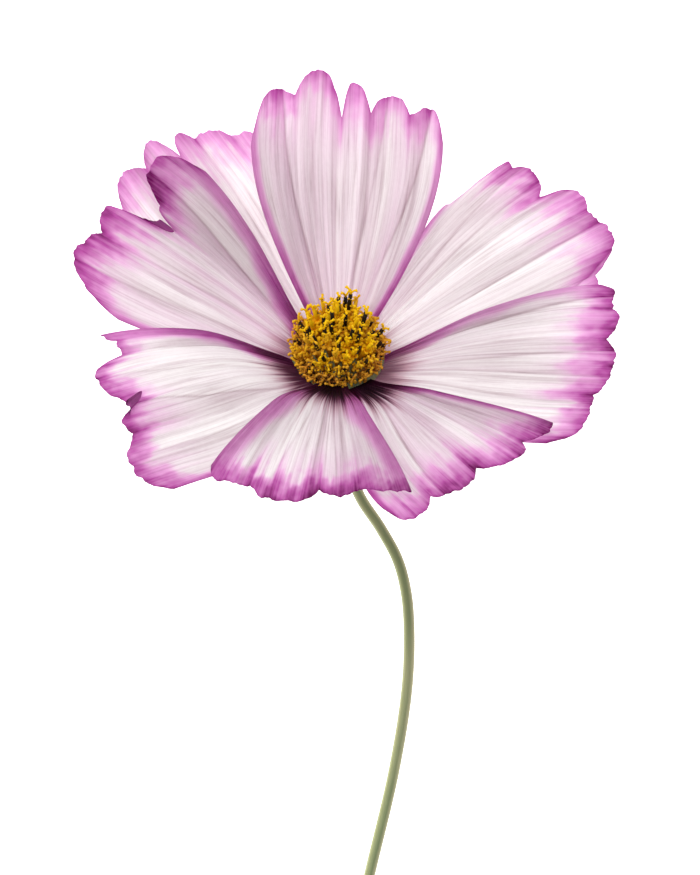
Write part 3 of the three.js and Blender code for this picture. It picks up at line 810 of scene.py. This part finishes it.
floretLooks = {
    "corolla": {"fresh": (0.88, 0.47, 0.002), "dried": (0.50, 0.19, 0.035), "roughness": 0.7},
    "anther": {"fresh": (0.016, 0.012, 0.008), "dried": (0.05, 0.025, 0.01), "roughness": 0.5},
    "stigma": {"fresh": (0.93, 0.57, 0.002), "dried": (0.74, 0.34, 0.03), "roughness": 0.7},
}
floretGrain = {"scale": 2600.0, "detail": 3.0, "uneven": 0.5, "shine": 0.15, "bump": [0.5, 0.1 * mm]}


def makeFloretMaterial(name, look):
    material, tree, shader = newMaterial(name)
    noise = addNode(tree, "ShaderNodeTexNoise", {"Scale": look["scale"], "Detail": look["detail"]})
    tree.links.new(addNode(tree, "ShaderNodeTexCoord").outputs["Object"], noise.inputs["Vector"])
    grain = noise.outputs["Fac"]
    age = mathNode(tree, "ADD", attributeOf(tree, "dried"), aboutMiddle(tree, grain, look["uneven"]), True)
    colour = ramp(tree, age, [(0, look["fresh"]), (1, look["dried"])])
    addSurface(tree, shader, colour, grain, look)
    return material


floretMaterials = [makeFloretMaterial(name, floretGrain | look) for name, look in floretLooks.items()]
for index, ring in enumerate(discRings):
    makeDiscRing(index, ring)
print("florets made")


# line is [out, up] in millimetres from the bloom's centre; shift is a part of the step between bracts
bractShapes = {
    "inner_bract": {"line": [[3, -3.75], [3.6, -2.75], [4.15, -1.6], [4.55, -0.3], [5.1, 0.3]], "keel": -0.3,
                    "narrow": 0.25, "swell": 1.15, "start": 0.12, "span": 0.8, "bluntness": 0.8,
                    "shift": 0.5},
    "outer_bract": {"line": [[2, -5.25], [3.4, -4.95], [5.6, -4.3], [8, -3.9], [10.2, -4.2]], "keel": 0.15,
                    "narrow": 0.2, "swell": 0.75, "start": 0.15, "span": 0.78, "bluntness": 1, "shift": 0},
}
bractMake = {"thickness": 0.22, "columns": 16, "steps": 10, "ribDepth": 0.03, "ribCount": 5, "tip": 0.15,
             "bluntTip": 0.02}


def makeBract(kind, index, shape, material):
    make = bractMake
    line = smoothLine(shape["line"], make["steps"])
    rows, columns = len(line) - 1, make["columns"]
    along = np.linspace(0, 1, rows + 1)[:, None]
    across = np.linspace(-1, 1, columns + 1)[None, :]
    tangent = np.gradient(line, axis=0)
    tangent /= np.linalg.norm(tangent, axis=1)[:, None]
    bulge = np.sin(np.pi * (shape["start"] + shape["span"] * along)) ** shape["bluntness"]
    nearTip = ((along - 1 + make["tip"]) / make["tip"]).clip(0, 1)
    taper = np.sqrt(np.clip(1 - nearTip ** 2, make["bluntTip"], 1))
    halfWidth = (shape["narrow"] + shape["swell"] * bulge) * taper
    turn = 2 * math.pi * (index + shape["shift"]) / headFacts["bractCount"]
    skins = []
    for face in (1, -1):
        rib = make["ribDepth"] * np.cos(np.pi * across * make["ribCount"])
        back = face * make["thickness"] / 2 + shape["keel"] * across ** 2 * halfWidth + rib
        away = line[:, 0:1] - tangent[:, 1:2] * back
        height = line[:, 1:2] + tangent[:, 0:1] * back
        skins.append(around(away, across * halfWidth, height, turn).reshape(-1, 3))
    points, faces = shell(skins[0], skins[1], rows, columns)
    uv = np.tile(np.stack(np.broadcast_arrays((across + 1) / 2, along), -1).reshape(-1, 2), (2, 1))
    piece = meshPiece(f"{kind}_leaf_{index + 1}", fromHead(points), faces, uv, None, 2 * rows * columns)
    piece.data.materials.append(material)
    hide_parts(f"{kind}_{index + 1}")
    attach(piece, "root")


leafLooks = {
    "inner_bract": {"leaf": [(0.35, (0.24, 0.17, 0.07)), (0.65, (0.42, 0.36, 0.13))],
                    "tip": (0.36, 0.14, 0.08)},
    "outer_bract": {"leaf": [(0.35, (0.09, 0.18, 0.04)), (0.65, (0.22, 0.36, 0.09))],
                    "tip": (0.24, 0.2, 0.06)},
}
leafGrain = {"veins": [22, 1.5, 3], "tipFrom": 0.7, "tipGain": 2.5, "roughness": 0.5, "bump": [0.4, 0.1 * mm]}


def makeLeafMaterial(name, look):
    material, tree, shader = newMaterial(name)
    veins = stretchedNoise(tree, *look["veins"])
    colour = ramp(tree, veins, look["leaf"])
    parts = addNode(tree, "ShaderNodeSeparateXYZ")
    tree.links.new(ownMap(tree), parts.inputs[0])
    tip = aboveBy(tree, parts.outputs["Y"], look["tipFrom"], look["tipGain"])
    addSurface(tree, shader, mixColour(tree, tip, colour, look["tip"]), veins, look)
    return material


for kind, shape in bractShapes.items():
    leafMaterial = makeLeafMaterial(kind, leafGrain | leafLooks[kind])
    for index in range(headFacts["bractCount"]):
        makeBract(kind, index, shape, leafMaterial)
print("bracts made")


# the part's own centre line, in millimetres from the point on the table below the bloom's centre;
# the receptacle is [radius, height] about the bloom's axis
stemMake = {
    "radius": 0.8, "sides": 28, "steps": 26, "ridges": 7, "ridgeDepth": 0.045, "ridgeTwist": 0.01,
    "headHeight": 14.3, "headSides": 48, "headShade": 0.6,
    "line": [[0, -2.9, 10.9], [0.1, -4.7, 8.7], [0.4, -8.2, 5], [1.3, -12.8, 2.2], [3.1, -17.8, 1],
             [6.1, -22.4, 0.8], [8.5, -26.9, 0.8], [9.7, -31.6, 0.8], [10.1, -37, 0.8], [9.8, -45, 0.8],
             [8, -56.5, 0.8], [4.6, -71, 0.8], [-0.4, -92, 0.8]],
    "receptacle": [[0, -5.6], [0.95, -5.5], [1.5, -4.8], [2.6, -3.3], [3.5, -1.6], [3.95, 0.2], [4, 1.2],
                   [4.8, 1.9], [6.4, 2.4], [6.5, 2.7], [5, 3.6], [3.4, 4.1], [0, 4.3]],
}


def makeStem():
    make = stemMake
    line = smoothLine(make["line"], make["steps"]) + headCentre / mm - [0, 0, make["headHeight"]]
    lengths = np.concatenate([[0], np.cumsum(np.linalg.norm(np.diff(line, axis=0), axis=1))])
    points, faces, uv, flank = [], [], [], []
    sides, rings = make["sides"], len(line)
    for i, spot in enumerate(line):
        ahead = unit(line[min(i + 1, rings - 1)] - line[max(i - 1, 0)])
        across = unit(np.cross(ahead, (0, 0, 1)))
        up = np.cross(across, ahead)
        for k in range(sides):
            turn = 2 * math.pi * k / sides
            wave = 0.5 + 0.5 * math.cos(make["ridges"] * turn + make["ridgeTwist"] * lengths[i])
            radius = make["radius"] - make["ridgeDepth"] * (1 - wave)
            points.append(spot + radius * (math.cos(turn) * across + math.sin(turn) * up))
            uv.append((k / sides, lengths[i] / lengths[-1]))
            # 1 on the flank toward the key lamp, which the stem's colour paints lighter
            flank.append(0.5 + 0.5 * math.cos(turn))
    last = (rings - 1) * sides
    for a in range(0, last, sides):
        for k in range(sides):
            n = (k + 1) % sides
            faces.append((a + k, a + k + sides, a + n + sides, a + n))
    faces.append(tuple(range(sides)))
    faces.append(tuple(reversed(range(last, last + sides))))
    body, bodyFaces = lathe(make["receptacle"], make["headSides"], len(points))
    points = np.vstack([np.array(points) * mm, fromHead(np.array(body))])
    uv += [(0.5, 0.0)] * len(body)
    flank += [make["headShade"]] * len(body)
    piece = meshPiece("stem_green", points, faces + bodyFaces, uv, {"flank": flank})
    mesh = bmesh.new()
    mesh.from_mesh(piece.data)
    bmesh.ops.recalc_face_normals(mesh, faces=mesh.faces)
    mesh.to_mesh(piece.data)
    mesh.free()
    piece.data.materials.append(makeStemMaterial())
    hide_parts("stem")
    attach(piece, "root")


# painted light: a lighter yellow-green runs along the flank toward the key lamp, and tan along the other
stemLook = {
    "streaks": [(0.35, (0.165, 0.21, 0.09)), (0.65, (0.28, 0.33, 0.15))], "streakNoise": [12, 9, 4],
    "flanks": [(0, (0.66, 0.58, 0.34)), (0.35, (0.165, 0.21, 0.09)), (0.6, (0.28, 0.33, 0.15)),
               (0.9, (0.6, 0.62, 0.28))],
    "flankShare": 0.62, "blotch": (0.66, 0.58, 0.34), "blotchNoise": [2, 5, 2, 0.5, 3.0], "blotchGain": 1.5,
    "roughness": 0.45, "bump": [0.35, 0.1 * mm],
}


def makeStemMaterial():
    look = stemLook
    material, tree, shader = newMaterial("stem")
    streaks = stretchedNoise(tree, *look["streakNoise"])
    blotches = stretchedNoise(tree, *look["blotchNoise"])
    # painted light: lighter yellow-green along the flank toward the key lamp
    flanks = ramp(tree, attributeOf(tree, "flank"), look["flanks"])
    colour = mixColour(tree, look["flankShare"], ramp(tree, streaks, look["streaks"]), flanks)
    patch = aboveBy(tree, blotches, 0.5, look["blotchGain"])
    addSurface(tree, shader, mixColour(tree, patch, colour, look["blotch"]), streaks, look)
    return material


makeStem()
print("stem made")


# sizes and places in metres
studio = {
    "floor": 1.6,
    "floorLook": {"Base Color": (0.85, 0.85, 0.85, 1), "Roughness": 0.9, "Specular IOR Level": 0.1,
                  "Emission Color": (1, 1, 1, 1), "Emission Strength": 1.15},
    "sky": {"Color": (1, 1, 1, 1), "Strength": 0.42},
    "lamps": {"key": {"place": (-0.35, 0.45, 0.75), "size": 0.7, "power": 5.8},
              "fill": {"place": (0.6, -0.3, 0.6), "size": 0.8, "power": 1.4}},
}


def makeFloor():
    half = studio["floor"] / 2
    corners = [(-half, -half, 0), (half, -half, 0), (half, half, 0), (-half, half, 0)]
    floor = meshPiece("floor", corners, [(0, 1, 2, 3)], smooth=0)
    material, tree, shader = newMaterial("floor")
    for key, value in studio["floorLook"].items():
        shader.inputs[key].default_value = value
    floor.data.materials.append(material)


def makeSky():
    world = bpy.data.worlds.new("studio")
    world.use_nodes = True
    for key, value in studio["sky"].items():
        world.node_tree.nodes["Background"].inputs[key].default_value = value
    bpy.context.scene.world = world


def addLamp(name, lamp):
    light = bpy.data.objects.new(name, bpy.data.lights.new(name, "AREA"))
    light.data.size = lamp["size"]
    light.data.energy = lamp["power"]
    light.location = lamp["place"]
    light.rotation_mode = "QUATERNION"
    light.rotation_quaternion = (-Vector(lamp["place"])).to_track_quat("-Z", "Y")
    bpy.context.scene.collection.objects.link(light)


makeFloor()
makeSky()
for name, lamp in studio["lamps"].items():
    addLamp(name, lamp)
bpy.context.scene.view_settings.view_transform = "Standard"
print("studio made")
